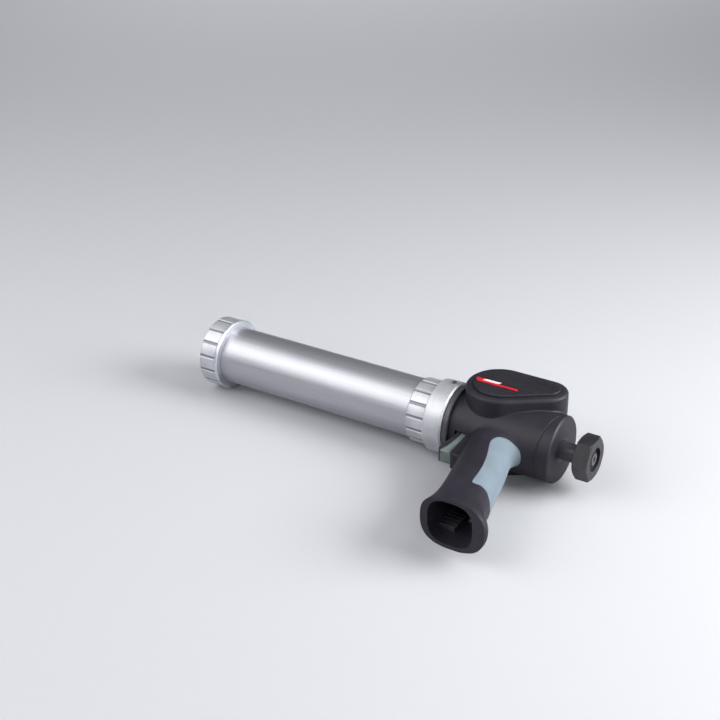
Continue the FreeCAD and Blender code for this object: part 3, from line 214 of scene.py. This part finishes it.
def stripeLabel(look):
    finish, tree = newFinish("printedFilmLabel")
    place = addNode(tree, "ShaderNodeTexCoord", {}, {})
    axes = addNode(tree, "ShaderNodeSeparateXYZ", {}, {"Vector": (place, "Object")})
    low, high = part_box("label_plate")
    along = addNode(tree, "ShaderNodeMapRange", {"From Min": low.x, "From Max": high.x}, {"Value": (axes, "X")})
    across = addNode(tree, "ShaderNodeMapRange", {"From Min": low.y, "From Max": high.y}, {"Value": (axes, "Y")})
    slanted = addMath(tree, "MULTIPLY_ADD", {1: look["slant"]}, {0: (across, "Result"), 2: (along, "Result")})
    fields = addNode(tree, "ShaderNodeValToRGB", {}, {"Fac": (slanted, 0)})
    fields.color_ramp.interpolation = "CONSTANT"
    fields.color_ramp.elements.remove(fields.color_ramp.elements[1])
    fields.color_ramp.elements[0].color = toLinear(look["red"])
    for share, colour in look["upper"]:
        fields.color_ramp.elements.new(share).color = toLinear(look[colour])
    upper = addNode(tree, "ShaderNodeMapRange", {"From Min": look["split"][0], "From Max": look["split"][1]},
                    {"Value": (across, "Result")})
    stripe = addNode(tree, "ShaderNodeMix", {"data_type": "RGBA", 6: toLinear(look["red"])},
                     {0: (upper, "Result"), 7: (fields, "Color")})
    dots = addNoise(tree, (place, "Object"), look["dots"], look["dotDetail"])
    gloss = addGloss(tree, (dots, "Fac"), look["rough"])
    bump = addNode(tree, "ShaderNodeBump", {"Strength": look["bump"], "Distance": look["depth"] / perMetre},
                   {"Height": (dots, "Fac")})
    closeFinish(tree, {"IOR": look["ior"], "Coat Weight": look["coat"], "Coat Roughness": look["coatRough"]},
                (stripe, 2), gloss, (bump, "Normal"))
    return finish


# Glass-epoxy board under green lacquer: a dull weave shows through and paler tracks run along it
# Real tracks and weave are finer than 0.5 mm and are drawn coarser
boardLook = {"green": "#15582f", "dark": "#0f4424", "copper": "#3a7a4a", "track": 5.0, "trackGap": 0.03, "bias": 0.1,
             "weave": 1.2, "rough": (0.25, 0.45), "bump": 0.2, "depth": 0.05, "ior": 1.55}


def lacqueredBoard(look):
    finish, tree = newFinish("lacqueredCircuitBoard")
    place = addNode(tree, "ShaderNodeTexCoord", {}, {})
    tracks = addNode(tree, "ShaderNodeTexBrick",
                     {"Scale": cells(look["track"]), "Color1": toLinear(look["green"]),
                      "Color2": toLinear(look["dark"]), "Mortar": toLinear(look["copper"]),
                      "Mortar Size": look["trackGap"], "Bias": look["bias"]},
                     {"Vector": (place, "Object")})
    weave = addNoise(tree, (place, "Object"), look["weave"])
    gloss = addGloss(tree, (weave, "Fac"), look["rough"])
    bump = addNode(tree, "ShaderNodeBump", {"Strength": look["bump"], "Distance": look["depth"] / perMetre},
                   {"Height": (tracks, "Fac")})
    closeFinish(tree, {"IOR": look["ior"]}, (tracks, "Color"), gloss, (bump, "Normal"))
    return finish


# Joints: the way each plane faces, its distance and its width in mm, and the lowest Y that it reaches
halvesJoint = {"facing": (0.0, 0.0, 1.0), "level": 0.0, "width": 0.35, "lowest": -200.0}
rearCapJoint = {"facing": (0.97992, -0.19937, 0.0), "level": 347.87, "width": 0.6, "lowest": -36.0}
# Plastics and rubber: grain, flow marks and softened edges in mm
housingLook = {"dark": "#17141d", "light": "#23202b", "grain": 1.1, "flow": 24.0, "rough": (0.48, 0.6),
               "bump": 0.2, "edge": 0.8, "specular": 0.35,
               "joints": (halvesJoint, rearCapJoint)}  # glass-filled nylon, matt charcoal
coverLook = {"dark": "#16141b", "light": "#201e26", "grain": 1.1, "flow": 18.0, "rough": (0.5, 0.62),
             "bump": 0.22, "edge": 0.5, "specular": 0.35}  # the same nylon from a finer tool
triggerLook = {"dark": "#525e5b", "light": "#66726f", "grain": 1.0, "flow": 9.0, "rough": (0.42, 0.55),
               "bump": 0.18, "edge": 0.7}  # acetal, waxy and half matt
blackLook = {"dark": "#18171b", "light": "#27262b", "grain": 1.0, "flow": 10.0, "rough": (0.38, 0.52),
             "bump": 0.18, "edge": 0.4, "specular": 0.4}  # black acetal, smoother than the nylon
gripLook = {"dark": "#5f6d78", "light": "#6c7a86", "grain": 1.2, "flow": 14.0, "rough": (0.6, 0.75),
            "bump": 0.3, "edge": 0.6, "sheen": 0.15}  # soft elastomer, dull with a faint bloom
litRibLook = {"dark": "#2b292f", "light": "#3b3940", "grain": 1.0, "flow": 10.0, "rough": (0.3, 0.42),
           "bump": 0.12, "edge": 0.5}  # nylon that the battery rubs smooth; its colour is painted lighter than the housing, as painted light in the socket
sealLook = {"dark": "#161617", "light": "#262627", "grain": 1.0, "flow": 8.0, "rough": (0.6, 0.75),
            "bump": 0.25, "edge": 0.3}  # nitrile rubber, almost no gloss
leadLook = {"dark": "#8c1414", "light": "#b02020", "grain": 1.0, "flow": 6.0, "rough": (0.35, 0.5),
            "bump": 0.1, "edge": 0.1}  # soft insulation, extruded smooth
# Turned metals: feed marks, haze, softened edges, land radius and groove depth in mm, and for the fluted cap and nut
# a painted shade colour in the grooves
turnedLook = {"dark": "#bebfc4", "light": "#d0d1d6", "feed": 0.9, "haze": 12.0, "rough": (0.52, 0.62),
              "bump": 0.06, "edge": 0.4}  # machined aluminium, lightly blasted
# Fluted cap and nut: a painted shade colour darkens the bottoms of their grooves
capLook = {**turnedLook, "land": 33.0, "groove": 1.0, "paintedGrooveShade": "#92929a"}
nutLook = {**turnedLook, "land": 29.3, "groove": 1.0, "paintedGrooveShade": "#92929a"}
paleLook = {"dark": "#c4c8cf", "light": "#dfe3e9", "feed": 0.9, "haze": 12.0, "rough": (0.4, 0.52),
            "bump": 0.1, "edge": 0.4}  # blasted aluminium, clear anodised
blackMetalLook = {"dark": "#303036", "light": "#45454c", "feed": 1.0, "haze": 9.0, "rough": (0.36, 0.5),
                  "bump": 0.15, "edge": 0.5, "metal": 0.0}  # the oxide layer hides the bare metal
steelLook = {"dark": "#8f8f92", "light": "#b5b5b9", "feed": 0.8, "haze": 7.0, "rough": (0.24, 0.4),
             "bump": 0.2, "edge": 0.2}  # ground steel
bronzeLook = {"dark": "#a5813f", "light": "#c9a866", "feed": 0.8, "haze": 7.0, "rough": (0.28, 0.42),
              "bump": 0.2, "edge": 0.2}  # sintered bronze, a little oily

finishes = {
    "aluminium_tube": anodisedTube(tubeLook),
    "aluminium_turned": turnedMetal("turnedAluminium", turnedLook),
    "aluminium_pale": turnedMetal("blastedPaleAluminium", paleLook),
    "black_metal": turnedMetal("blackOxideSteel", blackMetalLook),
    "housing_plastic": mouldedPlastic("charcoalGlassFilledNylon", housingLook),
    "cover_plastic": mouldedPlastic("groovedCoverPlastic", coverLook),
    "label_red": stripeLabel(labelLook),
    "grip_rubber": mouldedPlastic("softGripElastomer", gripLook),
    "trigger_plastic": mouldedPlastic("greyGreenAcetal", triggerLook),
    "black_plastic": mouldedPlastic("blackAcetal", blackLook),
    "seal_rubber": mouldedPlastic("nitrileRubber", sealLook),
    "steel": turnedMetal("groundSteel", steelLook),
    "bronze": turnedMetal("sinteredBronze", bronzeLook),
    "board_green": lacqueredBoard(boardLook),
    "lead_red": mouldedPlastic("leadInsulation", leadLook),
}
ownFinishes = {  # nodes whose look differs from the rest of their slot
    # the socket ribs carry painted light: a lighter copy of the housing nylon
    "socket_ribs": mouldedPlastic("polishedRibNylonPaintedLighter", litRibLook),
    "front_cap": turnedMetal("flutedCapAluminium", capLook),
    "barrel_nut": turnedMetal("flutedNutAluminium", nutLook),
}
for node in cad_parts.values():
    for slot in node.material_slots:
        slot.material = finishes[slot.material.name]
for name, finish in ownFinishes.items():
    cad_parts[name].material_slots[0].material = finish
print("finishes:", len(finishes) + len(ownFinishes))

# Studio: a pale paper floor, a broad softbox in front, weaker ones above and to the right, one for the far floor
studioLook = {"floor": "#b4b5ba", "floorLevel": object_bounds()[0][2], "floorSide": 40.0, "floorMiddle": 0.2,
              "fibre": 3.0, "bump": 0.03, "depth": 0.2, "rough": 0.85,
              "horizon": "#7d8088", "zenith": "#e6e9ee", "worldStrength": 0.28}
lampLook = {
    "frontSoftbox": {"place": (-0.5, -0.75, 0.96), "aim": (0.17, 0.0, 0.0), "size": (1.6, 1.15),
                     "power": 19.0, "spread": 180.0},
    "topSoftbox": {"place": (0.7, 0.45, 1.3), "aim": (0.3, 0.0, 0.0), "size": (1.2, 0.8),
                   "power": 6.0, "spread": 180.0},
    "rightSoftbox": {"place": (1.35, 0.35, 0.65), "aim": (0.35, 0.0, 0.0), "size": (0.9, 0.7),
                     "power": 14.0, "spread": 120.0},
    "fillSoftbox": {"place": (1.25, -0.95, 0.5), "aim": (0.33, -0.06, 0.0), "size": (0.7, 0.7),
                    "power": 5.0, "spread": 180.0},
    "floorSoftbox": {"place": (-0.9, 2.0, 1.6), "aim": (-1.0, 2.1, 0.0), "size": (2.5, 1.5),
                     "power": 16.0, "spread": 110.0},
}

bpy.ops.object.select_all(action="DESELECT")
bpy.ops.mesh.primitive_plane_add(size=studioLook["floorSide"],
                                 location=(studioLook["floorMiddle"], 0.0, studioLook["floorLevel"]))
floor = bpy.context.object
floor.name = "studioFloor"
bpy.ops.object.transform_apply(location=True, rotation=True, scale=True)
paper, tree = newFinish("paleStudioPaper")  # matt backdrop paper with a faint fibre, drawn coarser than it is
place = addNode(tree, "ShaderNodeTexCoord", {}, {})
fibre = addNoise(tree, (place, "Object"), studioLook["fibre"])
bump = addNode(tree, "ShaderNodeBump", {"Strength": studioLook["bump"], "Distance": studioLook["depth"] / perMetre},
               {"Height": (fibre, "Fac")})
shader = addNode(tree, "ShaderNodeBsdfPrincipled",
                 {"Base Color": toLinear(studioLook["floor"]), "Roughness": studioLook["rough"]},
                 {"Normal": (bump, "Normal")})
addNode(tree, "ShaderNodeOutputMaterial", {}, {"Surface": (shader, "BSDF")})
floor.data.materials.append(paper)

world = bpy.data.worlds.new("studioWorld")
world.use_nodes = True
tree = world.node_tree
tree.nodes.clear()
place = addNode(tree, "ShaderNodeTexCoord", {}, {})
axes = addNode(tree, "ShaderNodeSeparateXYZ", {}, {"Vector": (place, "Generated")})
fade = addNode(tree, "ShaderNodeValToRGB", {}, {"Fac": (axes, "Z")})
fade.color_ramp.elements[0].color = toLinear(studioLook["horizon"])
fade.color_ramp.elements[1].color = toLinear(studioLook["zenith"])
sky = addNode(tree, "ShaderNodeBackground", {"Strength": studioLook["worldStrength"]}, {"Color": (fade, "Color")})
addNode(tree, "ShaderNodeOutputWorld", {}, {"Surface": (sky, "Background")})
bpy.context.scene.world = world

for name, look in lampLook.items():
    bpy.ops.object.light_add(type="AREA", location=look["place"])
    lamp = bpy.context.object
    lamp.name = name
    lamp.data.shape = "RECTANGLE"
    lamp.data.size, lamp.data.size_y = look["size"]
    lamp.data.energy = look["power"]
    lamp.data.spread = math.radians(look["spread"])
    lamp.rotation_euler = (Vector(look["aim"]) - Vector(look["place"])).to_track_quat("-Z", "Y").to_euler()

# Camera at the photo's angle, fitted to the tool's round edges
cameraView = {"azimuth": 32.773, "elevation": 27.956, "roll": -1.060, "lens": 66.5, "sensor": 36.0,
              "place": (0.7348, -0.8918, 0.5946)}
turn = Matrix.Rotation(math.radians(cameraView["azimuth"]), 4, "Z")
tilt = Matrix.Rotation(math.radians(90 - cameraView["elevation"]), 4, "X")
roll = Matrix.Rotation(math.radians(cameraView["roll"]), 4, "Z")
bpy.ops.object.camera_add()
camera = bpy.context.object
camera.data.lens = cameraView["lens"]
camera.data.sensor_width = cameraView["sensor"]
camera.matrix_world = Matrix.Translation(cameraView["place"]) @ turn @ tilt @ roll
bpy.context.scene.camera = camera
bpy.context.scene.view_settings.view_transform = "Standard"
print("studio ready")
